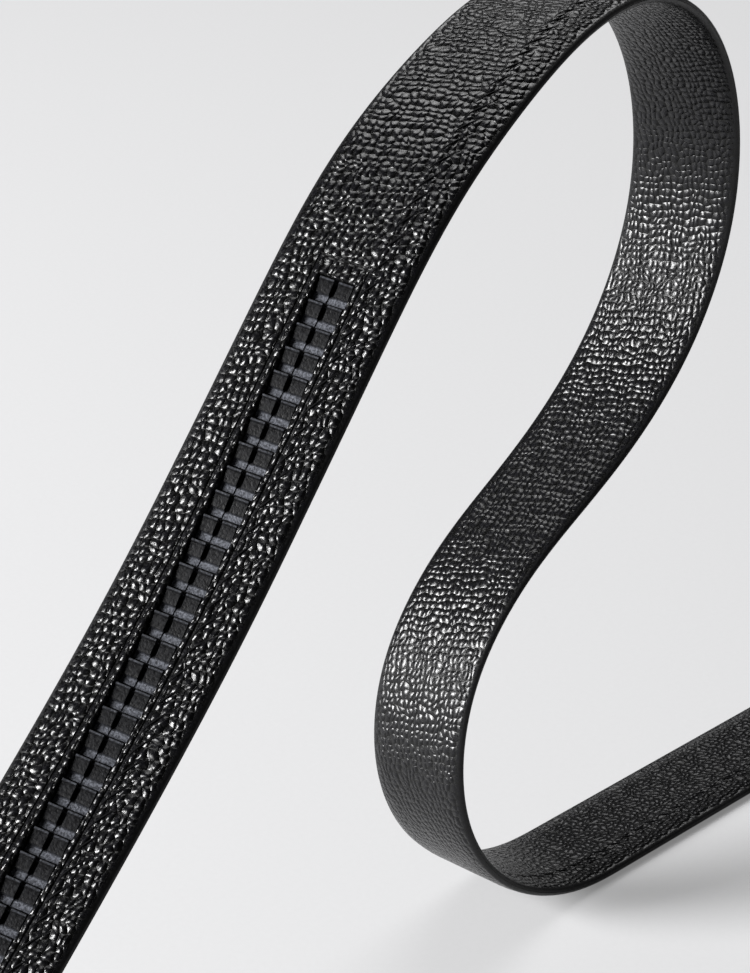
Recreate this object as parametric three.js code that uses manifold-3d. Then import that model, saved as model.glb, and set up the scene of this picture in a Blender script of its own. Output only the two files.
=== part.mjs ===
// Ratchet belt: a wrapped leather strap whose back carries a toothed track, standing in a free curve.
// The strap lies flat on its plain run, curls up into a C, swings back through an S to an arch and comes
// down again, with its back and the track outwards, until its tip touches the ground.
// Units are millimetres, +Z is up, and the origin is under the middle of the belt, on the ground.
import * as THREE from 'three';
import { mergeVertices } from 'three/addons/utils/BufferGeometryUtils.js';
import Module from 'manifold-3d';

// Strap
const strapLength = 1300;
const strapWidth = 35;
const strapThickness = 3.6;
const edgeRounding = 1.5;
const tipRounding = 24;
const tipFlat = 9;
const liftShare = 0.03;

// Toothed track and the slot cut for it in the back of the strap
const trackDistance = 897;
const toothPitch = 6.35;
const toothCount = 48;
const trackWidth = 8.9;
const trackGroove = 1.2;
const trackBase = 0.7;
const toothHeight = 0.9;
const slotDepth = 2.4;
const slotMargin = 0.4;
const seatGap = 0.3;

// Plain clasp at the other end of the strap
const claspLength = 58;
const claspWidth = 41;
const claspCorner = 5;
const claspBevel = 0.6;
const claspPlate = 2.2;
const claspRib = 1.2;
const claspLid = 1.6;
const claspPocket = 30;
const passHeight = 5;
const passWidth = 36.6;

// Outer height of the pocket, the height of its middle in the clasp, and the turn that brings the strap
// from there down to the ground over two stretches.
const pocketHeight = strapThickness + 2 * seatGap;
const pocketMiddle = claspPlate + passHeight + claspRib + pocketHeight / 2;
const liftTurn = ((pocketMiddle - strapThickness / 2) / (liftShare * strapLength)) * (180 / Math.PI);

// The curve of the strap from its clasp end to its tip, a row for each stretch. share is of the strap's
// length, turn is the bend towards the back face and twist the roll about the strap, both in degrees.
const stretches = [
  { share: 0.030, turn: 0, twist: 0 },
  { share: liftShare, turn: -liftTurn, twist: 0 },
  { share: liftShare, turn: liftTurn, twist: 0 },
  { share: 0.160, turn: 0, twist: 0 },
  { share: 0.025, turn: 21, twist: 1 },
  { share: 0.035, turn: 39, twist: 0 },
  { share: 0.030, turn: 37, twist: 0 },
  { share: 0.030, turn: 36, twist: -1 },
  { share: 0.030, turn: 17, twist: 1 },
  { share: 0.030, turn: -11, twist: 4 },
  { share: 0.030, turn: -25, twist: 5 },
  { share: 0.030, turn: -33, twist: 5 },
  { share: 0.040, turn: -35, twist: 5 },
  { share: 0.045, turn: -30, twist: 1 },
  { share: 0.045, turn: -26, twist: -2 },
  { share: 0.035, turn: -13, twist: -3 },
  { share: 0.030, turn: -17, twist: -1 },
  { share: 0.045, turn: -3, twist: 0 },
  { share: 0.045, turn: 7, twist: -1 },
  { share: 0.050, turn: 4, twist: -1 },
  { share: 0.050, turn: -5, twist: 1 },
  { share: 0.050, turn: -8, twist: 4 },
  { share: 0.040, turn: 6, twist: 5 },
  { share: 0.035, turn: 11, twist: 4 },
];

// One tooth of the track, from its lock face towards the tip: along is a share of the pitch and rise a
// share of the tooth's height over the landing between two teeth.
const toothProfile = [
  { along: 0.01, rise: 1 },
  { along: 0.09, rise: 1 },
  { along: 0.70, rise: 0 },
  { along: 0.95, rise: 0 },
  { along: 0.96, rise: -0.25 },
  { along: 1.00, rise: -0.25 },
];

// Fineness of the solids
const walkStep = 1;
const degreesPerFacet = 4;
const longestFacet = 26;
const cornerFacets = 3;
const tipFacets = 7;

const wasm = await Module();
wasm.setup();

// Total share of the strap at the joints between the stretches.
function jointShares() {
  const joints = [0];
  for (const row of stretches) joints.push(joints[joints.length - 1] + row.share);
  return joints;
}

const joints = jointShares();

// Degrees per mm of one column at a joint: the mean of the rates on its two sides, weighted so that the
// shorter stretch counts for more, or nothing where they turn opposite ways or one is straight.
function rateAtJoint(column, index) {
  const before = stretches[index - 1];
  const after = stretches[index];
  if (!before || !after || before[column] * after[column] <= 0) return 0;
  const beforeRate = before[column] / before.share;
  const afterRate = after[column] / after.share;
  const mean = (beforeRate * after.share + afterRate * before.share) / (before.share + after.share);
  return mean / strapLength;
}

// Degrees per mm of one column at a distance along the strap: the slope of the cubic that passes through
// the running totals at the joints with the rates given there.
function rateAt(column, distance) {
  const share = distance / strapLength;
  let index = 0;
  while (index < stretches.length - 1 && share > joints[index + 1]) index += 1;
  const row = stretches[index];
  const u = (share - joints[index]) / row.share;
  const mean = row[column] / (row.share * strapLength);
  const start = rateAtJoint(column, index);
  const end = rateAtJoint(column, index + 1);
  return start * (1 - 4 * u + 3 * u * u) + end * (3 * u * u - 2 * u) + mean * 6 * u * (1 - u);
}

// Walk along the middle of the strap. A pose's own x axis runs along the strap, y across it towards the
// edge that shows, and z out of its back face.
function walkStrap() {
  const place = new THREE.Vector3();
  const turned = new THREE.Quaternion().setFromAxisAngle(new THREE.Vector3(0, 0, 1), Math.PI);
  const poses = [{ place: place.clone(), turned: turned.clone() }];
  const steps = Math.round(strapLength / walkStep);
  const step = strapLength / steps;
  for (let i = 0; i < steps; i += 1) {
    const middle = (i + 0.5) * step;
    const bend = THREE.MathUtils.degToRad(rateAt('turn', middle)) * step;
    const roll = THREE.MathUtils.degToRad(rateAt('twist', middle)) * step;
    const axis = new THREE.Vector3(roll, -bend, 0);
    const angle = axis.length();
    const half = new THREE.Quaternion();
    if (angle > 0) half.setFromAxisAngle(axis.normalize(), angle / 2);
    turned.multiply(half);
    place.addScaledVector(new THREE.Vector3(1, 0, 0).applyQuaternion(turned), step);
    turned.multiply(half);
    poses.push({ place: place.clone(), turned: turned.clone() });
  }
  return { poses, step };
}

const strapWalk = walkStrap();

// The point that lies `across` and `up` from the middle of the strap at a distance along it.
function pointOnStrap(distance, across, up) {
  const { poses, step } = strapWalk;
  const index = Math.min(Math.max(Math.floor(distance / step), 0), poses.length - 2);
  const blend = distance / step - index;
  const place = poses[index].place.clone().lerp(poses[index + 1].place, blend);
  const turned = poses[index].turned.clone().slerp(poses[index + 1].turned, blend);
  return place.add(new THREE.Vector3(0, across, up).applyQuaternion(turned));
}

// Distances between two ends of a length of strap, close together where it bends.
function bendStations(from, to) {
  const stations = [from];
  let turnedSince = 0;
  let last = from;
  for (let distance = from; distance < to; distance += walkStep) {
    turnedSince += Math.abs(rateAt('turn', distance)) * walkStep;
    if (turnedSince >= degreesPerFacet || distance - last >= longestFacet) {
      stations.push(distance);
      last = distance;
      turnedSince = 0;
    }
  }
  if (to - last < walkStep * 2 && stations.length > 1) stations.pop();
  stations.push(to);
  return stations;
}

// Closed mesh of rings of [across, up] pairs, one ring at each distance, wound about the strap's
// direction, with both ends closed by a flat cap.
function sweep(stations, ringAt) {
  const rings = stations.map((distance, index) => ringAt(distance, index));
  const count = rings[0].length;
  const positions = [];
  rings.forEach((ring, i) => {
    for (const [across, up] of ring) positions.push(...pointOnStrap(stations[i], across, up).toArray());
  });
  const triangles = [];
  for (let i = 0; i < rings.length - 1; i += 1) {
    for (let j = 0; j < count; j += 1) {
      const next = (j + 1) % count;
      const a = i * count + j;
      const b = i * count + next;
      triangles.push(a, b, b + count, a, b + count, a + count);
    }
  }
  const outline = (ring) => ring.map(([across, up]) => new THREE.Vector2(across, up));
  const last = (rings.length - 1) * count;
  for (const [a, b, c] of THREE.ShapeUtils.triangulateShape(outline(rings[0]), [])) {
    triangles.push(a, c, b);
  }
  for (const [a, b, c] of THREE.ShapeUtils.triangulateShape(outline(rings[rings.length - 1]), [])) {
    triangles.push(last + a, last + b, last + c);
  }
  return solidOf(positions, triangles);
}

function solidOf(positions, triangles) {
  return new wasm.Manifold(new wasm.Mesh({
    numProp: 3,
    vertProperties: new Float32Array(positions),
    triVerts: new Uint32Array(triangles),
  }));
}

// A solid from one of the geometry classes, with its shared vertices merged.
function solidOfGeometry(geometry) {
  geometry.deleteAttribute('normal');
  geometry.deleteAttribute('uv');
  const merged = mergeVertices(geometry, 1e-4);
  return solidOf(Array.from(merged.attributes.position.array), Array.from(merged.index.array));
}

function meshOf(name, solid, material) {
  const { vertProperties, triVerts } = solid.getMesh();
  const geometry = new THREE.BufferGeometry();
  geometry.setAttribute('position', new THREE.BufferAttribute(new Float32Array(vertProperties), 3));
  geometry.setIndex(new THREE.BufferAttribute(new Uint32Array(triVerts), 1));
  geometry.computeVertexNormals();
  const mesh = new THREE.Mesh(geometry, material);
  mesh.name = name;
  return mesh;
}

// Half the strap's width at a distance: full, then drawn in round the tip to a short flat end.
function halfWidthAt(distance) {
  const intoTip = Math.max(distance - (strapLength - tipRounding), 0) / tipRounding;
  const drawnIn = 1 - Math.sqrt(Math.max(1 - intoTip * intoTip, 0));
  return THREE.MathUtils.lerp(strapWidth / 2, tipFlat / 2, drawnIn);
}

// Section of the strap: flat faces and rounded, turned-over edges.
function strapRing(distance) {
  const across = halfWidthAt(distance) - edgeRounding;
  const up = strapThickness / 2 - edgeRounding;
  const corners = [[1, -1, -90], [1, 1, 0], [-1, 1, 90], [-1, -1, 180]];
  const ring = [];
  for (const [sideways, upward, startDegrees] of corners) {
    for (let k = 0; k <= cornerFacets; k += 1) {
      const angle = THREE.MathUtils.degToRad(startDegrees + (90 * k) / cornerFacets);
      ring.push([
        sideways * across + edgeRounding * Math.cos(angle),
        upward * up + edgeRounding * Math.sin(angle),
      ]);
    }
  }
  return ring;
}

// Rectangle across the strap between two heights over its middle.
function boxRing(halfWidth, low, high) {
  return [[-halfWidth, low], [halfWidth, low], [halfWidth, high], [-halfWidth, high]];
}

const trackLength = toothPitch * toothCount;

function makeStrap() {
  const stations = bendStations(0, strapLength - tipRounding);
  for (let k = 1; k <= tipFacets; k += 1) {
    const angle = (Math.PI / 2) * (k / tipFacets);
    stations.push(strapLength - tipRounding * (1 - Math.sin(angle)));
  }
  const body = sweep(stations, strapRing);
  const slotFloor = strapThickness / 2 - slotDepth;
  const slotStations = bendStations(trackDistance - slotMargin, trackDistance + trackLength + slotMargin);
  const slot = sweep(slotStations, () => boxRing(trackWidth / 2 + slotMargin, slotFloor, strapThickness));
  return body.subtract(slot);
}

// Two rows of teeth side by side on one base, with a groove between them.
function trackRing(rise) {
  const base = strapThickness / 2 - slotDepth + seatGap;
  const landing = base + trackBase;
  const top = landing + toothHeight * rise;
  const side = trackWidth / 2;
  const groove = trackGroove / 2;
  const grooveFloor = base + trackBase / 2;
  return [
    [-side, base], [side, base], [side, top], [groove, top],
    [groove, grooveFloor], [-groove, grooveFloor], [-groove, top], [-side, top],
  ];
}

function makeTrack() {
  const rises = [];
  const stations = [];
  for (let tooth = 0; tooth < toothCount; tooth += 1) {
    for (const { along, rise } of toothProfile) {
      stations.push(trackDistance + (tooth + along) * toothPitch);
      rises.push(rise);
    }
  }
  return sweep(stations, (distance, index) => trackRing(rises[index]));
}

// Plain clasp, one piece: a plate below, a pass for the free end over it and a pocket for the strap's end.
function makeClasp() {
  const height = pocketMiddle + pocketHeight / 2 + claspLid;
  const halfLength = claspLength / 2 - claspBevel;
  const halfWidth = claspWidth / 2 - claspBevel;
  const corner = claspCorner - claspBevel;
  const outline = new THREE.Shape();
  outline.moveTo(-halfLength + corner, -halfWidth);
  outline.absarc(halfLength - corner, -halfWidth + corner, corner, -Math.PI / 2, 0);
  outline.absarc(halfLength - corner, halfWidth - corner, corner, 0, Math.PI / 2);
  outline.absarc(-halfLength + corner, halfWidth - corner, corner, Math.PI / 2, Math.PI);
  outline.absarc(-halfLength + corner, -halfWidth + corner, corner, Math.PI, 1.5 * Math.PI);
  const blockGeometry = new THREE.ExtrudeGeometry(outline, {
    depth: height - 2 * claspBevel,
    bevelThickness: claspBevel,
    bevelSize: claspBevel,
    bevelSegments: 2,
    curveSegments: 6,
  });
  blockGeometry.translate(0, 0, claspBevel - pocketMiddle);
  const passGeometry = new THREE.BoxGeometry(claspLength * 2, passWidth, passHeight);
  passGeometry.translate(0, 0, claspPlate + passHeight / 2 - pocketMiddle);
  const pocketGeometry = new THREE.BoxGeometry(claspPocket * 2, strapWidth + 2 * seatGap, pocketHeight);
  pocketGeometry.translate(-claspLength / 2, 0, 0);
  return solidOfGeometry(blockGeometry)
    .subtract(solidOfGeometry(passGeometry))
    .subtract(solidOfGeometry(pocketGeometry));
}

const leather = new THREE.MeshStandardMaterial({ color: 0x17171a, roughness: 0.42, metalness: 0 });
const nylon = new THREE.MeshStandardMaterial({ color: 0x2a2a2c, roughness: 0.55, metalness: 0 });
const blackMetal = new THREE.MeshStandardMaterial({ color: 0x1c1d20, roughness: 0.35, metalness: 0.9 });

const strap = meshOf('strap', makeStrap(), leather);
const track = meshOf('ratchet_track', makeTrack(), nylon);
const clasp = meshOf('clasp', makeClasp(), blackMetal);
clasp.position.x = claspLength / 2 - claspPocket + seatGap;

const group = new THREE.Group();
group.add(strap, track, clasp);

// Put the origin under the middle of the belt, on the ground.
const box = new THREE.Box3().setFromObject(group, true);
const middle = box.getCenter(new THREE.Vector3());
group.position.set(-middle.x, -middle.y, -box.min.z);

export default group;
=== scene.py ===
# %% [markdown]
# # A ratchet belt in pebbled leather
# A ratchet belt has no holes. Its back carries a moulded track of small ramped teeth, and a pawl in the
# clasp drops behind one of them. This lesson dresses the belt's solids: the wrapped leather strap, the
# track, the stitching and the clasp. The strap stands on the ground in a free curve, so nearly every
# surface here is a profile carried along one path.

# %% Load the solids and keep their box
import math

import bpy
import numpy as np
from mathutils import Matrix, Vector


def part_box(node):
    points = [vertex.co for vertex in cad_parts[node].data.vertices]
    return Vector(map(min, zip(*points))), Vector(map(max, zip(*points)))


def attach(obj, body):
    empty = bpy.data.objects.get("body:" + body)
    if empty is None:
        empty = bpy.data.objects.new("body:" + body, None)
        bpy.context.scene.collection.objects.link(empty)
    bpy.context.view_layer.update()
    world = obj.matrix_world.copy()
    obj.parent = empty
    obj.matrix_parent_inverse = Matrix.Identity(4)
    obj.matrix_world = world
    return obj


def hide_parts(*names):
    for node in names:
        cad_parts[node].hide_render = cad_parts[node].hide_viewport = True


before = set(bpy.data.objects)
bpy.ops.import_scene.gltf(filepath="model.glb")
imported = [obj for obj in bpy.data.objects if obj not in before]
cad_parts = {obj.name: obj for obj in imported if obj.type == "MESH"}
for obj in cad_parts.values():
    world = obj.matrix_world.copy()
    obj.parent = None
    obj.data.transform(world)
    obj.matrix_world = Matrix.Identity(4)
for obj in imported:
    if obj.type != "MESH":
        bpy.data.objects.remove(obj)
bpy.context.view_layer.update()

mm = 0.001

# %% [markdown]
# ## The camera
# The camera stands half a metre above the ground and about a metre from the belt, and looks down a little.
# A long lens keeps the strap's width nearly the same along the curve. The camera comes first.

# %% Camera
camera_azimuth = -46.06
camera_elevation = 24.58
picture_height = 24.0
focal_length = 76.69

camera_data = bpy.data.cameras.new("camera")
camera_data.sensor_fit = "VERTICAL"
camera_data.sensor_height = picture_height
camera_data.lens = focal_length
camera_data.clip_end = 50.0
camera = bpy.data.objects.new("camera", camera_data)
camera.location = (-0.5922, -0.4866, 0.5149)
camera.rotation_euler = (math.radians(90.0 - camera_elevation), 0.0, math.radians(camera_azimuth))
bpy.context.scene.collection.objects.link(camera)
bpy.context.scene.camera = camera
bpy.context.scene.view_settings.view_transform = "Standard"
print("camera height in mm:", round(camera.location.z / mm))

# %% [markdown]
# ## Two helpers for every finish
# Colours are written as the hex values that a screen shows. Shaders add up light, so one function turns
# such a value into linear light. A second function adds a shader node: plain values are set on its sockets,
# and other nodes' outputs are linked to them. A socket is called by its name, or by its place in the node's
# list: Map Range has its value at 0, the range it comes from at 1 and 2, and the range it goes to at 3 and
# 4, and a Mix of two colours has them at 6 and 7.

# %% Helpers for materials
def linear(hex_colour):
    """Screen colour to linear light: a straight line near black and a power of 2.4 above it."""
    channels = np.array([int(hex_colour[i:i + 2], 16) for i in (1, 3, 5)]) / 255.0
    light = np.where(channels <= 0.04045, channels / 12.92, ((channels + 0.055) / 1.055) ** 2.4)
    return (*light.tolist(), 1.0)


def add_node(material, kind, settings=None, inputs=None):
    """Add one node. An input gets a value, or a link from a socket or from a node's first output."""
    node = material.node_tree.nodes.new(kind)
    for name, value in (settings or {}).items():
        setattr(node, name, value)
    for key, value in (inputs or {}).items():
        source = value.outputs[0] if isinstance(value, bpy.types.Node) else value
        if isinstance(source, bpy.types.NodeSocket):
            material.node_tree.links.new(source, node.inputs[key])
        else:
            node.inputs[key].default_value = source
    return node


def new_material(name, shading):
    """A node material whose surface shader has the given plain values."""
    material = bpy.data.materials.new(name)
    material.use_nodes = True
    material.node_tree.nodes.clear()
    shader = add_node(material, "ShaderNodeBsdfPrincipled", None, shading)
    add_node(material, "ShaderNodeOutputMaterial", None, {"Surface": shader})
    return material, shader


# %% [markdown]
# ## The path of the strap
# A strap can't stretch, so its curve is told as a maker would bend it: how far it turns and twists over
# each stretch of its length. Walking along it in steps of a millimetre gives the middle line and, at each
# step, three directions: along the strap, across it to the edge that shows, and up out of its back.

# %% Sizes of the strap and the turns of its path
strap_length = 1300.0
strap_width = 35.0
strap_thickness = 3.6
edge_rounding = 1.5
tip_rounding = 24.0
tip_flat = 9.0
lift_share = 0.03
clasp_lid = 1.6
seat_gap = 0.3

pocket_height = strap_thickness + 2 * seat_gap
clasp_low, clasp_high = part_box("clasp")
strap_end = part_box("strap")[1].x
path_start = np.array([
    strap_end / mm,
    (clasp_low.y + clasp_high.y) / 2 / mm,
    clasp_high.z / mm - clasp_lid - pocket_height / 2,
])
lift_turn = math.degrees((path_start[2] - strap_thickness / 2) / (lift_share * strap_length))

stretches = np.array([
    # share of the length, turn towards the back and twist about the strap, in degrees
    (0.030, 0, 0),
    (lift_share, -lift_turn, 0),
    (lift_share, lift_turn, 0),
    (0.160, 0, 0),
    (0.025, 21, 1),
    (0.035, 39, 0),
    (0.030, 37, 0),
    (0.030, 36, -1),
    (0.030, 17, 1),
    (0.030, -11, 4),
    (0.030, -25, 5),
    (0.030, -33, 5),
    (0.040, -35, 5),
    (0.045, -30, 1),
    (0.045, -26, -2),
    (0.035, -13, -3),
    (0.030, -17, -1),
    (0.045, -3, 0),
    (0.045, 7, -1),
    (0.050, 4, -1),
    (0.050, -5, 1),
    (0.050, -8, 4),
    (0.040, 6, 5),
    (0.035, 11, 4),
])
print("turns of the strap in all:", round(stretches[:, 1].sum()), "degrees")


# %% Walk along the strap
def rates(column, distance):
    """Degrees per mm at each distance: the slope of the cubic through the running totals at the joints.

    At a joint the slope is the mean of the two stretches beside it, the shorter one counting for more,
    and nothing where they turn opposite ways.
    """
    share, total = stretches[:, 0], stretches[:, column]
    mean = total / (share * strap_length)
    before, after = mean[:-1], mean[1:]
    weighted = (before * share[1:] + after * share[:-1]) / (share[:-1] + share[1:])
    joint = np.concatenate([[0.0], np.where(before * after > 0, weighted, 0.0), [0.0]])
    edges = np.concatenate([[0.0], np.cumsum(share)])
    index = np.clip(np.searchsorted(edges, distance / strap_length) - 1, 0, len(share) - 1)
    u = (distance / strap_length - edges[index]) / share[index]
    start, end = joint[index], joint[index + 1]
    return start * (1 - 4 * u + 3 * u * u) + end * (3 * u * u - 2 * u) + mean[index] * 6 * u * (1 - u)


def turned_by(bend, roll):
    """Rotation by a small vector of angles, roll about the strap and bend about its width."""
    axis = np.array([roll, -bend, 0.0])
    angle = np.linalg.norm(axis)
    if angle == 0.0:
        return np.eye(3)
    x, y, z = axis / angle
    skew = np.array([[0, -z, y], [z, 0, -x], [-y, x, 0]])
    return np.eye(3) + math.sin(angle) * skew + (1 - math.cos(angle)) * skew @ skew


# At the clasp the strap runs towards -x, its edge that shows faces -y and its back faces up.
steps = int(strap_length)
middles = np.arange(steps) + 0.5
bends = np.radians(rates(1, middles))
rolls = np.radians(rates(2, middles))
walk_places = np.zeros((steps + 1, 3))
walk_turns = np.zeros((steps + 1, 3, 3))
walk_places[0] = path_start
walk_turns[0] = np.diag([-1.0, -1.0, 1.0])
# Each step starts where the last one ended, so this loop over steps can't be one sum.
for i in range(steps):
    half = turned_by(bends[i] / 2, rolls[i] / 2)
    between = walk_turns[i] @ half
    walk_places[i + 1] = walk_places[i] + between[:, 0]
    walk_turns[i + 1] = between @ half

print("tip of the strap in mm:", walk_places[-1].round(1))


def on_strap(along, across, up):
    """Points at a distance along the strap, across from its middle and up out of its back, in metres.

    Each is the middle line's point there, plus across times the width's direction, plus up times the
    back's direction. The three arrays are in mm and have the same shape.
    """
    walked = np.arange(steps + 1.0)
    place = np.stack([np.interp(along, walked, walk_places[:, k]) for k in range(3)], axis=-1)
    wide = np.stack([np.interp(along, walked, walk_turns[:, k, 1]) for k in range(3)], axis=-1)
    high = np.stack([np.interp(along, walked, walk_turns[:, k, 2]) for k in range(3)], axis=-1)
    return (place + across[..., None] * wide + up[..., None] * high) * mm


# %% [markdown]
# ## A mesh from a grid of points
# A profile carried along a path is a grid: one row of points for each station and one column for each
# point of the profile. Joining neighbours gives four-sided faces. The profile is closed, so the last
# column joins the first, and the two ends get a flat cap each.

# %% Grid to mesh
def grid_faces(rows, columns):
    """Corner numbers of the faces between neighbouring rows and columns. The last column meets the first."""
    row = np.arange(rows - 1)[:, None] * columns
    here = np.arange(columns)[None, :]
    beyond = (here + 1) % columns
    quads = np.stack([row + here, row + beyond, row + columns + beyond, row + columns + here], axis=-1)
    return quads.reshape(-1, 4)


def make_mesh(name, points, quads, caps, material, smooth=True):
    """An object at the origin from a list of points, four-sided faces and any larger end faces."""
    faces = quads.tolist() + [list(cap) for cap in caps]
    mesh = bpy.data.meshes.new(name)
    mesh.from_pydata(points.reshape(-1, 3).tolist(), [], faces)
    mesh.polygons.foreach_set("use_smooth", np.full(len(faces), smooth))
    mesh.materials.append(material)
    mesh.update()
    piece = bpy.data.objects.new(name, mesh)
    bpy.context.scene.collection.objects.link(piece)
    mesh.calc_loop_triangles()
    print(name, "has", len(mesh.loop_triangles), "triangles")
    return piece


def sweep(name, points, material, smooth=True):
    """A closed tube from a grid of points, wound so that its faces point outwards."""
    rows, columns = points.shape[:2]
    first = range(columns - 1, -1, -1)
    last = range((rows - 1) * columns, rows * columns)
    return make_mesh(name, points, grid_faces(rows, columns), [first, last], material, smooth)


# %% [markdown]
# ## The finish of the strap
# The strap is a board wrapped in corrected-grain leather: a press rolls round pebbles of about two
# millimetres into it, and a clear finish makes it shine. Light then breaks up into sparks, one on each
# pebble that faces the lamp. The pattern is cells with soft cracks between them, drawn on the strap's own
# map, whose unit is a metre of leather, so the pebbles follow every bend.

# %% Pebbled black leather
tooth_pitch = 6.35
seam_across = 8.6
seam_start = 60.0
stroke_near = seam_across + 2.5
stroke_span = 4.5
stroke_length = 9.6

track_distance = 897.0
tooth_count = 48
track_width = 8.9
slot_margin = 0.4
frame_beside = 1.75
frame_beyond = 4.6
track_length = tooth_pitch * tooth_count
slot_half = track_width / 2 + slot_margin
slot_start = track_distance - slot_margin
slot_end = track_distance + track_length + slot_margin
frame_half = slot_half + frame_beside
frame_start = slot_start - frame_beyond
frame_end = slot_end + frame_beyond

pebble_size = 1.9
pebble_stretch = 0.85
pebble_rows_turn = 14.0
row_drift = 2.5
wrinkles_per_mm = 1.8
wrinkle_share = 0.13
crack_share = 0.1
crease_share = 0.8
crease_core = 0.03
crease_rim = 0.09
grain_depth = 0.42
grain_by_seam = 1.15
grain_by_edge = 1.6
less_on_front = 0.84
roughness_on_top = 0.2
roughness_in_wrinkle = 0.4


math_node = "ShaderNodeMath"
fade_node = "ShaderNodeMapRange"
absolute = {"operation": "ABSOLUTE"}
multiply = {"operation": "MULTIPLY"}
multiply_add = {"operation": "MULTIPLY_ADD"}
greatest = {"operation": "MAXIMUM"}
smooth_step = {"interpolation_type": "SMOOTHSTEP"}


def stroke_crease(material, along, across):
    """How deep a point lies in the crease that a slanting stroke of thread pulls, from 0 to 1.

    A stroke moves across by its span times the sine of a quarter turn, so the inverse sine tells how far
    along its stroke a point is, and the rest is its distance from the nearest stroke.
    """
    moved = add_node(
        material, math_node, multiply_add, {0: across, 1: -1 / stroke_span, 2: stroke_near / stroke_span},
    )
    quarter_turn = add_node(material, math_node, {"operation": "ARCSINE"}, {0: moved})
    started = add_node(
        material, math_node, multiply_add, {0: along, 1: 1 / tooth_pitch, 2: -seam_start / tooth_pitch},
    )
    lag = -stroke_length / (math.pi / 2 * tooth_pitch)
    phase = add_node(material, math_node, multiply_add, {0: quarter_turn, 1: lag, 2: started})
    wrapped = add_node(material, math_node, {"operation": "WRAP"}, {0: phase, 1: 0.5, 2: -0.5})
    away = add_node(material, math_node, absolute, {0: wrapped})
    near = add_node(
        material, fade_node, smooth_step, {0: away, 1: crease_core, 2: crease_rim, 3: 1.0, 4: 0.0},
    )
    from_middle = add_node(material, math_node, multiply_add, {0: moved, 1: 2.0, 2: -1.0})
    off_middle = add_node(material, math_node, absolute, {0: from_middle})
    reach = add_node(material, fade_node, smooth_step, {0: off_middle, 1: 0.85, 2: 1.05, 3: 1.0, 4: 0.0})
    return add_node(material, math_node, multiply, {0: near, 1: reach})


def frame_crease(material, along, across):
    """How deep a point lies in the line of stitches that frames the slot, from 0 to 1.

    The greatest of how far a point is beyond each side of a rectangle is nothing on its outline.
    """
    sideways_by = add_node(material, math_node, absolute, {0: across})
    beside = add_node(material, math_node, {"operation": "SUBTRACT"}, {0: sideways_by, 1: frame_half})
    before = add_node(material, math_node, {"operation": "SUBTRACT"}, {0: frame_start, 1: along})
    beyond = add_node(material, math_node, {"operation": "SUBTRACT"}, {0: along, 1: frame_end})
    ends = add_node(material, math_node, greatest, {0: before, 1: beyond})
    outside = add_node(material, math_node, greatest, {0: beside, 1: ends})
    away = add_node(material, math_node, absolute, {0: outside})
    return add_node(material, fade_node, smooth_step, {0: away, 1: 0.1, 2: 0.6, 3: 0.9, 4: 0.0})


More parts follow.
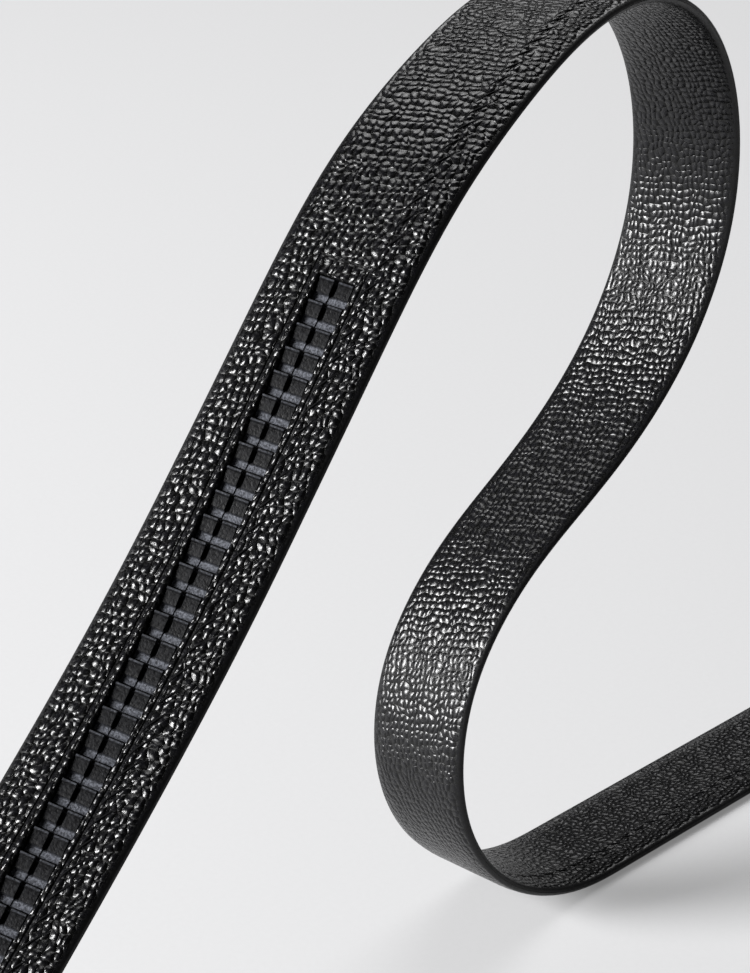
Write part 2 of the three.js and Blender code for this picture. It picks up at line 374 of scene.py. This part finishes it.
def pebbled_leather():
    """Chrome-tanned black leather with a pressed pebble grain and a semi-gloss finish."""
    material, shader = new_material("pebbled_leather", {"Specular IOR Level": 0.25, "IOR": 1.5})
    flat_map = add_node(material, "ShaderNodeUVMap", {"uv_map": "leather"})
    in_mm = add_node(
        material, "ShaderNodeVectorMath", {"operation": "SCALE"}, {0: flat_map, "Scale": 1 / mm},
    )
    drift = add_node(
        material, "ShaderNodeTexNoise", {"noise_dimensions": "2D"},
        {"Vector": in_mm, "Scale": 0.15, "Detail": 1.0},
    ).outputs["Color"]
    wandering = add_node(
        material, "ShaderNodeVectorMath", {"operation": "MULTIPLY_ADD"},
        {0: drift, 1: (row_drift, row_drift, 0.0), 2: in_mm},
    )
    rows = add_node(
        material, "ShaderNodeMapping", None,
        {
            "Vector": wandering, "Scale": (pebble_stretch, 1.0, 1.0),
            "Rotation": (0.0, 0.0, math.radians(pebble_rows_turn)),
        },
    )
    pebbles = {"Vector": rows, "Scale": 1 / pebble_size, "Randomness": 0.5}
    middle = add_node(
        material, "ShaderNodeTexVoronoi", {"voronoi_dimensions": "2D", "feature": "F1"}, pebbles,
    )
    crack = add_node(
        material, "ShaderNodeTexVoronoi",
        {"voronoi_dimensions": "2D", "feature": "DISTANCE_TO_EDGE"}, pebbles,
    ).outputs["Distance"]
    dome = add_node(material, fade_node, smooth_step, {0: middle, 1: 0.0, 2: 0.85, 3: 1.0, 4: 0.0})
    shoulder = add_node(material, fade_node, smooth_step, {0: crack, 1: 0.0, 2: 0.16})
    pebble = add_node(material, math_node, multiply_add, {0: shoulder, 1: crack_share, 2: dome})
    fine = add_node(
        material, "ShaderNodeTexNoise", {"noise_dimensions": "2D"},
        {"Vector": in_mm, "Scale": wrinkles_per_mm, "Detail": 2.0, "Roughness": 0.5},
    )
    grain = add_node(material, math_node, multiply_add, {0: fine, 1: wrinkle_share, 2: pebble})
    shown = add_node(material, "ShaderNodeAttribute", {"attribute_name": "grain"}).outputs["Fac"]
    along = add_node(material, "ShaderNodeSeparateXYZ", None, {0: in_mm})
    across = add_node(material, "ShaderNodeAttribute", {"attribute_name": "across"}).outputs["Fac"]
    strokes = stroke_crease(material, along, across)
    framed = frame_crease(material, along, across)
    crease = add_node(material, math_node, greatest, {0: strokes, 1: framed})
    pressed = add_node(material, fade_node, smooth_step, {0: crease, 1: 0.0, 2: 0.8, 3: 1.0, 4: 0.25})
    # The grain stands out most by the edge that shows, and least on the front, where the leather is tight.
    # Off the back the value across is ten widths, so it also tells the front from the back.
    puffed = add_node(
        material, fade_node, smooth_step, {0: across, 1: 9.0, 2: 15.0, 3: grain_by_seam, 4: grain_by_edge},
    )
    on_front = add_node(
        material, fade_node, smooth_step, {0: across, 1: 40.0, 2: 60.0, 3: 0.0, 4: less_on_front},
    )
    swollen = add_node(material, math_node, {"operation": "SUBTRACT"}, {0: puffed, 1: on_front})
    drawn = add_node(material, math_node, multiply, {0: shown, 1: swollen})
    kept = add_node(material, math_node, multiply, {0: drawn, 1: pressed})
    flattened = add_node(material, math_node, multiply, {0: grain, 1: kept})
    height = add_node(material, math_node, multiply_add, {0: crease, 1: -crease_share, 2: flattened})
    bump = add_node(
        material, "ShaderNodeBump", None,
        {"Strength": 1.0, "Distance": grain_depth * mm, "Height": height},
    )
    # Painted light and shade: the pebbles' tops are painted a little paler, and the cracks between them
    # darker.
    on_top = add_node(material, fade_node, smooth_step, {0: pebble, 1: 0.2, 2: 1.1})
    colour = add_node(
        material, "ShaderNodeMix", {"data_type": "RGBA"},
        {"Factor": on_top, 6: linear("#030303"), 7: linear("#08080a")},
    ).outputs[2]
    polish = add_node(
        material, fade_node, smooth_step,
        {0: fine, 1: 0.35, 2: 0.7, 3: roughness_on_top, 4: roughness_in_wrinkle},
    )
    at_edge = add_node(material, fade_node, smooth_step, {0: shown, 1: 0.0, 2: 0.3, 3: 0.2, 4: 0.0})
    roughness = add_node(material, math_node, {"operation": "ADD"}, {0: polish, 1: at_edge})
    material.node_tree.links.new(colour, shader.inputs["Base Color"])
    material.node_tree.links.new(roughness.outputs[0], shader.inputs["Roughness"])
    material.node_tree.links.new(bump.outputs[0], shader.inputs["Normal"])
    return material


leather = pebbled_leather()
print("leather nodes:", len(leather.node_tree.nodes))

# %% [markdown]
# ## The strap
# The leather is folded round both long edges and its two edges meet in a seam on the back, a quarter of
# the width from the edge that shows. The profile starts and ends in that seam, so the map of the leather
# has its cut where the real one has it. A slot sunk in the back, with a raised rim, takes the track.

# %% Profile of the strap
# The points lie close together at the seam, at the slot's rim and round the long edges, where the skin bends.
slot_depth = 2.4
sliver = 0.03
flat_half = strap_width / 2 - edge_rounding
back = strap_thickness / 2


def column_list(*runs):
    """Positions across the strap from runs of (from, to, how many), each without its last point."""
    return np.concatenate([np.linspace(start, end, count, endpoint=False) for start, end, count in runs])


left_back = column_list(
    (seam_across, 7.6, 4), (7.6, 6.2, 4), (6.2, slot_half + sliver, 6), (slot_half + sliver, slot_half, 1),
    (slot_half, -slot_half, 5), (-slot_half, -slot_half - sliver, 1),
    (-slot_half - sliver, -6.8, 7), (-6.8, -flat_half, 11),
)
front_columns = column_list((-flat_half, flat_half, 22))
right_back = column_list((flat_half, 12.4, 4), (12.4, 9.8, 5), (9.8, seam_across, 4))


turn_angles = np.radians(np.linspace(0.0, 90.0, 7))
rise_to_middle = back - edge_rounding


def strap_profile():
    """Share of the flat half width, offset across and up, and whether it is the back, for each point.

    A corner is a quarter circle: the rounding times the sine and the cosine of an angle up to 90 degrees.
    """
    zero = np.zeros
    parts = [
        (left_back / flat_half, zero(len(left_back)), np.full(len(left_back), back), 1.0),
        (
            -np.ones(len(turn_angles)), -edge_rounding * np.sin(turn_angles),
            rise_to_middle + edge_rounding * np.cos(turn_angles), 0.0,
        ),
        (
            -np.ones(len(turn_angles) - 1), -edge_rounding * np.cos(turn_angles[:-1]),
            -rise_to_middle - edge_rounding * np.sin(turn_angles[:-1]), 0.0,
        ),
        (front_columns / flat_half, zero(len(front_columns)), np.full(len(front_columns), -back), 0.0),
        (
            np.ones(len(turn_angles)), edge_rounding * np.sin(turn_angles),
            -rise_to_middle - edge_rounding * np.cos(turn_angles), 0.0,
        ),
        (
            np.ones(len(turn_angles) - 1), edge_rounding * np.cos(turn_angles[:-1]),
            rise_to_middle + edge_rounding * np.sin(turn_angles[:-1]), 0.0,
        ),
        (right_back / flat_half, zero(len(right_back)), np.full(len(right_back), back), 1.0),
    ]
    share = np.concatenate([part[0] for part in parts])
    sideways = np.concatenate([part[1] for part in parts])
    upward = np.concatenate([part[2] for part in parts])
    on_back = np.concatenate([np.full(len(part[0]), part[3]) for part in parts])
    return share, sideways, upward, on_back


share, sideways, upward, on_back = strap_profile()
print("points round the strap:", len(share))


# %% Stations along the strap
def half_width_at(along):
    """Half the strap's width: full, then the quarter of an ellipse round the tip to a short flat end."""
    into_tip = np.clip((along - (strap_length - tip_rounding)) / tip_rounding, 0.0, 1.0)
    drawn_in = 1.0 - np.sqrt(1.0 - into_tip**2)
    return strap_width / 2 * (1 - drawn_in) + tip_flat / 2 * drawn_in


shoulder_inner = 11.5
shoulder_depth = 0.45
station_step = 1.42
channel_depth = 0.2
channel_beat = 0.12
channel_width = 0.5
lip_height = 0.14
lip_offset = 1.5
lip_width = 0.9
puff_height = 0.4
rim_height = 0.22
rim_offset = 0.7
rim_width = 0.6
rim_reach = 1.0
tip_turns = np.linspace(0.0, math.pi / 2, 13)
stations = np.unique(np.concatenate([
    np.arange(0.0, strap_length - tip_rounding, station_step),
    [slot_start - sliver, slot_start, slot_end, slot_end + sliver],
    strap_length - tip_rounding * (1 - np.sin(tip_turns)),
]))


def bump_line(distance, width):
    """A smooth ridge: one at its middle and falling off as a bell curve of the given width."""
    return np.exp(-((distance / width) ** 2))


def back_relief(along, across):
    """Height over the flat back, in mm: the seam's channel, its puffs and the slot's rim.

    The channel is a bell curve across, pinched once for each stitch, with a low lip on both sides. A puff
    is a wave with one stitch to a turn, nothing on a stroke of thread and highest halfway to the next one.
    """
    from_seam = across - seam_across
    pinch = channel_depth + channel_beat * np.cos(2 * math.pi * (along - seam_start) / tooth_pitch)
    lips = lip_height * bump_line(np.abs(from_seam) - lip_offset, lip_width)
    channel = -pinch * bump_line(from_seam, channel_width) + lips
    moved = np.clip((stroke_near - across) / stroke_span, 0.0, 1.0)
    after_stroke = along - seam_start - stroke_length * np.arcsin(moved) / (math.pi / 2)
    wave = 0.5 - 0.5 * np.cos(2 * math.pi * after_stroke / tooth_pitch)
    puff = puff_height * np.sin(math.pi * moved) * wave
    in_rim = (along > slot_start - rim_reach) & (along < slot_end + rim_reach)
    from_slot = np.abs(across) - slot_half
    rim = rim_height * bump_line(from_slot - rim_offset, rim_width)
    return channel + puff + np.where(in_rim, rim, 0.0)


def shoulder_drop(across):
    """How far a face falls towards its long edges, in mm.

    It is the depth times the square of the share of the way from the inner line to the rounding.
    """
    past_inner = (np.abs(across) - shoulder_inner) / (flat_half - shoulder_inner)
    return shoulder_depth * np.clip(past_inner, 0, 1) ** 2


along_grid = np.repeat(stations[:, None], len(share), axis=1)
flat_here = half_width_at(along_grid) - edge_rounding
across_grid = share * flat_here + sideways
inside_slot = (
    (on_back > 0) & (np.abs(across_grid) <= slot_half + sliver / 2)
    & (along_grid >= slot_start - sliver / 2) & (along_grid <= slot_end + sliver / 2)
)
relief = np.where(on_back > 0, back_relief(along_grid, across_grid), 0.0)
dropped = upward + relief - np.sign(upward) * shoulder_drop(across_grid)
up_grid = np.where(inside_slot, back - slot_depth, dropped)
strap = sweep("belt_strap", on_strap(along_grid, across_grid, up_grid), leather)


# %% Map of the leather and where its grain shows
def write_map(piece, name, rows, columns, u, v):
    """Write a map for a swept piece from grids that have one column more than the piece."""
    r = np.arange(rows - 1)[:, None]
    c = np.arange(columns)[None, :]
    corners_u = np.stack([u[r, c], u[r, c + 1], u[r + 1, c + 1], u[r + 1, c]], axis=-1).reshape(-1)
    corners_v = np.stack([v[r, c], v[r, c + 1], v[r + 1, c + 1], v[r + 1, c]], axis=-1).reshape(-1)
    layer = piece.data.uv_layers.new(name=name)
    caps = len(piece.data.loops) - len(corners_u)
    pairs = np.stack([np.append(corners_u, np.zeros(caps)), np.append(corners_v, np.zeros(caps))], axis=-1)
    layer.data.foreach_set("uv", pairs.reshape(-1).astype(np.float32))


def set_point_value(piece, name, values):
    """A named number on every point of a piece."""
    attribute = piece.data.attributes.new(name=name, type="FLOAT", domain="POINT")
    attribute.data.foreach_set("value", values.reshape(-1).astype(np.float32))


closed_across = np.append(share * flat_half + sideways, share[0] * flat_half)
closed_up = np.append(upward, upward[0])
round_section = np.append(0.0, np.cumsum(np.hypot(np.diff(closed_across), np.diff(closed_up))))
rows = len(stations)
write_map(
    strap, "leather", rows, len(share),
    np.repeat(stations[:, None], len(share) + 1, axis=1) * mm,
    np.repeat(round_section[None, :], rows, axis=0) * mm,
)
smooth_edge = 0.7
grain_fade = 2.0
edge_distance = strap_width / 2 - np.abs(share * flat_half + sideways)
on_face = np.clip((edge_distance - smooth_edge) / grain_fade, 0.0, 1.0)
grain_grid = np.repeat(on_face[None, :], rows, axis=0) * np.where(inside_slot, 0.0, 1.0)
set_point_value(strap, "grain", grain_grid)
set_point_value(strap, "across", np.where(on_back > 0, across_grid, 10 * strap_width))
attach(strap, "root")
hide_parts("strap")
print("leather round the section in mm:", round(round_section[-1], 1))

# %% [markdown]
# ## The track
# The track is moulded nylon: two rows of teeth on one base, with a groove between them. A tooth has a
# steep face that the pawl locks on, a narrow crest, a long ramp that the pawl slides over and a low
# landing. The mould was spark-eroded at the landings, which leaves them rough. The landings are painted
# paler than the ramps, as painted light where they face the lamp, and the crests get a thin painted
# highlight.

# %% Moulded nylon
# Real grit is about a tenth of a millimetre. It is drawn at half a millimetre, so that it shows at all.
grit_per_mm = 2.0
skin_per_mm = 1.1
grit_depth = 0.22


def moulded_nylon():
    """Glass-filled black nylon, satin on the ramps and spark-eroded rough on the landings."""
    material, shader = new_material("moulded_nylon", {"Specular IOR Level": 0.06, "IOR": 1.53})
    place = add_node(material, "ShaderNodeTexCoord").outputs["Object"]
    landing = add_node(material, "ShaderNodeAttribute", {"attribute_name": "landing"}).outputs["Fac"]
    grit = add_node(
        material, "ShaderNodeTexNoise", None, {"Vector": place, "Scale": grit_per_mm / mm, "Detail": 3.0},
    )
    skin = add_node(
        material, "ShaderNodeTexNoise", None, {"Vector": place, "Scale": skin_per_mm / mm, "Detail": 4.0},
    )
    gritty = add_node(material, fade_node, smooth_step, {0: landing, 1: 0.0, 2: 1.0, 3: 0.35, 4: 1.2})
    faint = add_node(material, math_node, multiply, {0: skin, 1: 0.6})
    relief = add_node(material, math_node, multiply_add, {0: grit, 1: gritty, 2: faint})
    bump = add_node(
        material, "ShaderNodeBump", None,
        {"Strength": 1.0, "Distance": grit_depth * mm, "Height": relief},
    )
    worn = add_node(material, fade_node, smooth_step, {0: skin, 1: 0.38, 2: 0.68, 3: 0.0, 4: 0.03})
    grit_broken_light = add_node(material, fade_node, smooth_step, {0: grit, 1: 0.3, 2: 0.7, 3: 0.25, 4: 1.0})
    wear_and_painted_light = add_node(material, math_node, multiply_add, {0: landing, 1: grit_broken_light, 2: worn})
    # Painted light: the landings are painted pale where they face the lamp, and the grit breaks this into
    # patches. The crests get a thin painted highlight. The worn part is a faint random tone.
    colour = add_node(
        material, "ShaderNodeMix", {"data_type": "RGBA"},
        {"Factor": wear_and_painted_light, 6: linear("#050506"), 7: linear("#4e5056")},
    ).outputs[2]
    satin = add_node(material, fade_node, smooth_step, {0: skin, 1: 0.3, 2: 0.7, 3: 0.38, 4: 0.55})
    material.node_tree.links.new(colour, shader.inputs["Base Color"])
    material.node_tree.links.new(satin.outputs[0], shader.inputs["Roughness"])
    material.node_tree.links.new(bump.outputs[0], shader.inputs["Normal"])
    return material


nylon = moulded_nylon()
print("nylon nodes:", len(nylon.node_tree.nodes))

# %% Teeth of the track
track_groove = 1.2
track_base = 0.5
tooth_height = 1.5
chamfer = 0.14

tooth_profile = np.array([
    # share of the pitch, rise as a share of the tooth's height, and how gritty the surface is and how pale it
    # is painted: painted light on the landings, a painted highlight on the crests
    (0.010, 0.92, 0.0),
    (0.022, 1.00, 0.0),
    (0.045, 0.97, 0.45),
    (0.085, 0.97, 0.45),
    (0.100, 1.00, 0.0),
    (0.118, 0.93, 0.0),
    (0.150, 0.74, 0.0),
    (0.300, 0.66, 0.0),
    (0.500, 0.52, 0.0),
    (0.600, 0.42, 0.0),
    (0.650, 0.05, 0.4),
    (0.665, 0.00, 1.0),
    (0.895, 0.00, 1.0),
    (0.905, -0.05, 0.5),
    (0.915, -0.25, 0.0),
    (0.998, -0.25, 0.0),
])


def track_grid():
    """Along, across and up for the track: a ring round the two rows at each point of each tooth.

    A ring's top is the base of the teeth plus the tooth's height times the profile's rise there.
    """
    teeth = np.arange(tooth_count)[:, None]
    along = (track_distance + (teeth + tooth_profile[None, :, 0]) * tooth_pitch).reshape(-1)
    rise = np.tile(tooth_profile[:, 1], tooth_count)
    base = back - slot_depth + seat_gap
    top = base + track_base + tooth_height * rise
    side, groove = track_width / 2, track_groove / 2
    floor = base + track_base / 2
    ring = [
        (-side, 0.0, base), (side, 0.0, base), (side, -chamfer, None), (side - chamfer, 0.0, None),
        ((side + groove) / 2, 0.0, None), (groove + chamfer, 0.0, None), (groove, -chamfer, None),
        (groove, 0.0, floor), (-groove, 0.0, floor), (-groove, -chamfer, None),
        (-groove - chamfer, 0.0, None), (-(side + groove) / 2, 0.0, None), (-side + chamfer, 0.0, None),
        (-side, -chamfer, None),
    ]
    across = np.repeat(np.array([point[0] for point in ring])[None, :], len(along), axis=0)
    up = np.stack(
        [top + drop if level is None else np.full(len(along), level) for _, drop, level in ring], axis=1,
    )
    return np.repeat(along[:, None], len(ring), axis=1), across, up


track_along, track_across, track_up = track_grid()
track = sweep("track_teeth", on_strap(track_along, track_across, track_up), nylon, smooth=False)
landing_rows = np.tile(tooth_profile[:, 2], tooth_count)
set_point_value(track, "landing", np.repeat(landing_rows[:, None], track_across.shape[1], axis=1))
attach(track, "root")
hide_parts("ratchet_track")

# %% [markdown]
# ## The seam
# A zigzag stitch pulls the two edges of the leather together along the back. What shows of it is one long
# slanting stroke of thread for each stitch, and a short link back to the middle of the next stroke. Each
# is a thin tube with a round section, and all of them are made in one go from arrays.

# %% Thread
plies_per_mm = 2.2


def bonded_thread():
    """Black bonded polyester thread: twisted plies under a thin waxy coat."""
    shading = {"Roughness": 0.7, "Specular IOR Level": 0.06}
    material, shader = new_material("bonded_thread", shading)
    place = add_node(material, "ShaderNodeTexCoord").outputs["Object"]
    plies = add_node(
        material, "ShaderNodeTexNoise", None, {"Vector": place, "Scale": plies_per_mm / mm, "Detail": 2.0},
    )
    bump = add_node(
        material, "ShaderNodeBump", None, {"Strength": 0.8, "Distance": 0.05 * mm, "Height": plies},
    )
    colour = add_node(
        material, "ShaderNodeMix", {"data_type": "RGBA"},
        {"Factor": plies, 6: linear("#020203"), 7: linear("#060607")},
    ).outputs[2]
    material.node_tree.links.new(colour, shader.inputs["Base Color"])
    material.node_tree.links.new(bump.outputs[0], shader.inputs["Normal"])
    return material


thread_finish = bonded_thread()
thread_radius = 0.29


def tubes(along, across, up, radius, sides=6):
    """Points of many tubes at once, from grids of one row for each tube and one column for each bend.

    Round each point lies a ring: the radius times the cosine of the angle to the side of the thread's
    run across the strap, and times its sine up out of the back.
    """
    run_along = np.gradient(along, axis=1)
    run_across = np.gradient(across, axis=1)
    length = np.hypot(run_along, run_across)
    angle = np.linspace(0.0, 2 * math.pi, sides, endpoint=False)
    beside = radius * np.cos(angle)
    above = radius * np.sin(angle)
    ring_along = along[..., None] - (run_across / length)[..., None] * beside
    ring_across = across[..., None] + (run_along / length)[..., None] * beside
    ring_up = up[..., None] + above
    return ring_along, ring_across, ring_up


def tube_faces(count, bends, sides):
    """Faces of many tubes: the same faces for each, moved on by the points of the tubes before it."""
    quads = grid_faces(bends, sides)
    moved = quads[None, :, :] + (np.arange(count) * bends * sides)[:, None, None]
    start = np.arange(sides)[::-1][None, :] + (np.arange(count) * bends * sides)[:, None]
    end = start[:, ::-1] + (bends - 1) * sides
    return moved.reshape(-1, 4), np.concatenate([start, end]).tolist()


def thread_piece(name, groups, material, radius):
    """One object from several groups of tubes, each given as grids of along, across and up."""
    points, quads, caps, used = [], [], [], 0
    for along, across, up in groups:
        count, bends = along.shape
        ring = tubes(along, across, up, radius)
        sides = ring[0].shape[2]
        group_quads, group_caps = tube_faces(count, bends, sides)
        points.append(on_strap(*ring).reshape(-1, 3))
        quads.append(group_quads + used)
        caps += [[corner + used for corner in cap] for cap in group_caps]
        used += count * bends * sides
    return make_mesh(name, np.concatenate(points), np.concatenate(quads), caps, material)


# %% Strokes and links of the seam
# Across the strap a stroke follows a quarter of a sine wave, and both its ends dive into the leather.
# Adding nought times the stitches gives a grid one row for each stitch.
seam_end = strap_length - tip_rounding - 4.0
link_room = 3.0
stroke_proud = 0.02
stroke_sink = 0.7
link_gap = 0.2
link_length = 2.4
link_width = 1.9
link_below = 0.05
link_sink = 0.25

stitches = np.arange(seam_start, seam_end - stroke_length - link_room, tooth_pitch)[:, None]
q = np.linspace(0.0, 1.0, 9)[None, :]
stroke_along = stitches + stroke_length * q
stroke_across = stroke_near - stroke_span * np.sin(math.pi / 2 * q) + 0.0 * stitches
stroke_up = back + stroke_proud - stroke_sink * np.abs(2 * q - 1) ** 5 + 0.0 * stitches

link_q = np.linspace(0.0, 1.0, 5)[None, :]
link_along = stitches + stroke_length + link_gap + link_length * link_q
link_across = stroke_near - stroke_span + link_width * link_q**1.5 + 0.0 * stitches
link_up = back - link_below - link_sink * np.abs(2 * link_q - 1) ** 3 + 0.0 * stitches
seam = thread_piece(
    "seam_thread",
    [(stroke_along, stroke_across, stroke_up), (link_along, link_across, link_up)],
    thread_finish,
    thread_radius,
)
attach(seam, "root")
print("stitches in the seam:", len(stitches))

# %% Stitches round the slot
slot_stitch = 2.6
slot_thread_radius = 0.19
stitch_gap = 0.1
stitch_below = 0.1
stitch_sink = 0.35


def stitch_row(start, end, fixed, lengthways):
    """Grids of along, across and up for a straight row of short stitches.

    Each dips in at both ends, with the fourth power of the distance from its middle.
    """
    count = int(abs(end - start) / slot_stitch)
    pitch = (end - start) / count
    dip = np.linspace(0.0, 1.0, 5)[None, :]
    run = start + (np.arange(count)[:, None] + stitch_gap + (1 - 2 * stitch_gap) * dip) * pitch
    beside = np.full(run.shape, fixed)
    up = np.repeat(back - stitch_below - stitch_sink * np.abs(2 * dip - 1) ** 4, count, axis=0)
    return (run, beside, up) if lengthways else (beside, run, up)


frame_rows = [
    stitch_row(frame_start, frame_end, -frame_half, True),
    stitch_row(frame_start, frame_end, frame_half, True),
    stitch_row(-frame_half, frame_half, frame_start, False),
    stitch_row(-frame_half, frame_half, frame_end, False),
]
slot_thread = thread_piece("slot_thread", frame_rows, thread_finish, slot_thread_radius)
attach(slot_thread, "root")
print("stitches beside the slot:", len(frame_rows[0][0]))

# %% [markdown]
# ## The clasp
# The clasp lies past the picture's edge, so it is a plain block with a pass for the free end and a pocket
# for the strap. It keeps its solid's shape and gets the finish of such a part: zinc, die-cast, brushed
# along its length and plated black.

# %% Black plated zinc
# Real brushing is finer than a pixel here, so its scratches are drawn half a millimetre apart.
scratches_along = 0.02
scratches_beside = 2.0


def black_plated_zinc():
    """Die-cast zinc, brushed lengthways and plated black."""
    shading = {"Base Color": linear("#2b2c30"), "Metallic": 1.0}
    material, shader = new_material("black_plated_zinc", shading)
    place = add_node(material, "ShaderNodeTexCoord").outputs["Object"]
    per_metre = (scratches_along / mm, scratches_beside / mm, scratches_beside / mm)
    stretched = add_node(material, "ShaderNodeMapping", None, {"Vector": place, "Scale": per_metre})
    brushed = add_node(
        material, "ShaderNodeTexNoise", None, {"Vector": stretched, "Scale": 1.0, "Detail": 4.0},
    )
    bump = add_node(
        material, "ShaderNodeBump", None, {"Strength": 0.5, "Distance": 0.02 * mm, "Height": brushed},
    )
    satin = add_node(material, fade_node, smooth_step, {0: brushed, 1: 0.3, 2: 0.7, 3: 0.24, 4: 0.4})
    material.node_tree.links.new(satin.outputs[0], shader.inputs["Roughness"])
    material.node_tree.links.new(bump.outputs[0], shader.inputs["Normal"])
    return material


plated_zinc = black_plated_zinc()
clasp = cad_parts["clasp"]
for slot in clasp.material_slots:
    slot.material = plated_zinc
print("clasp finish:", clasp.material_slots[0].material.name)

# %% [markdown]
# ## Ground and light
# The belt stands on a sweep of pale paper. Black leather shows by what it mirrors, so the lamps are large:
# one tall soft box stands on the left, where the pebbles' slopes look, and a weak one hangs far behind,
# overhead. A dim pale room fills in the rest, and the paper glows a little by itself, in place of the light
# that white walls would throw on it.

# %% Ground
# The fibres of real paper are finer than a pixel here, so they are drawn as a faint mottle of 2 mm.
floor_reach = 6.0
paper_glow = 0.2
fibres_per_mm = 0.5
shading = {
    "Roughness": 0.9, "Specular IOR Level": 0.1,
    "Emission Color": (1.0, 1.0, 1.0, 1.0), "Emission Strength": paper_glow,
}
paper, paper_shader = new_material("backdrop_paper", shading)
fibre_place = add_node(paper, "ShaderNodeTexCoord").outputs["Object"]
fibres = add_node(
    paper, "ShaderNodeTexNoise", None, {"Vector": fibre_place, "Scale": fibres_per_mm / mm, "Detail": 2.0},
)
paper_tone = add_node(
    paper, "ShaderNodeMix", {"data_type": "RGBA"},
    {"Factor": fibres, 6: linear("#909091"), 7: linear("#949495")},
).outputs[2]
paper.node_tree.links.new(paper_tone, paper_shader.inputs["Base Color"])
corners = np.array([(-1, -1, 0), (1, -1, 0), (1, 1, 0), (-1, 1, 0)]) * floor_reach
floor = make_mesh("ground", corners, np.array([[0, 1, 2, 3]]), [], paper)

# %% Lamps
def soft_box(name, azimuth, elevation, distance, width, height, power, aim=(0.0, 0.0, 0.12)):
    """A rectangular lamp that faces the belt from an azimuth and elevation in degrees.

    Its place is the aim plus the distance times (sin a cos e, -cos a cos e, sin e).
    """
    a, e = math.radians(azimuth), math.radians(elevation)
    away = np.array([math.sin(a) * math.cos(e), -math.cos(a) * math.cos(e), math.sin(e)])
    data = bpy.data.lights.new(name, "AREA")
    data.shape = "RECTANGLE"
    data.size = width
    data.size_y = height
    data.energy = power
    lamp = bpy.data.objects.new(name, data)
    lamp.location = np.array(aim) + away * distance
    lamp.rotation_euler = (math.radians(90.0) - e, 0.0, a)
    bpy.context.scene.collection.objects.link(lamp)
    return lamp


soft_box("tall_left", azimuth=-118, elevation=20, distance=3.2, width=1.1, height=1.7, power=470)
soft_box("far_overhead", azimuth=128, elevation=47, distance=2.2, width=1.5, height=1.5, power=32)

room_glow = 0.06
world = bpy.data.worlds.new("pale_room")
world.use_nodes = True
world.node_tree.nodes["Background"].inputs["Color"].default_value = linear("#f2f2f4")
world.node_tree.nodes["Background"].inputs["Strength"].default_value = room_glow
bpy.context.scene.world = world
print("lamps:", [lamp.name for lamp in bpy.data.lights])
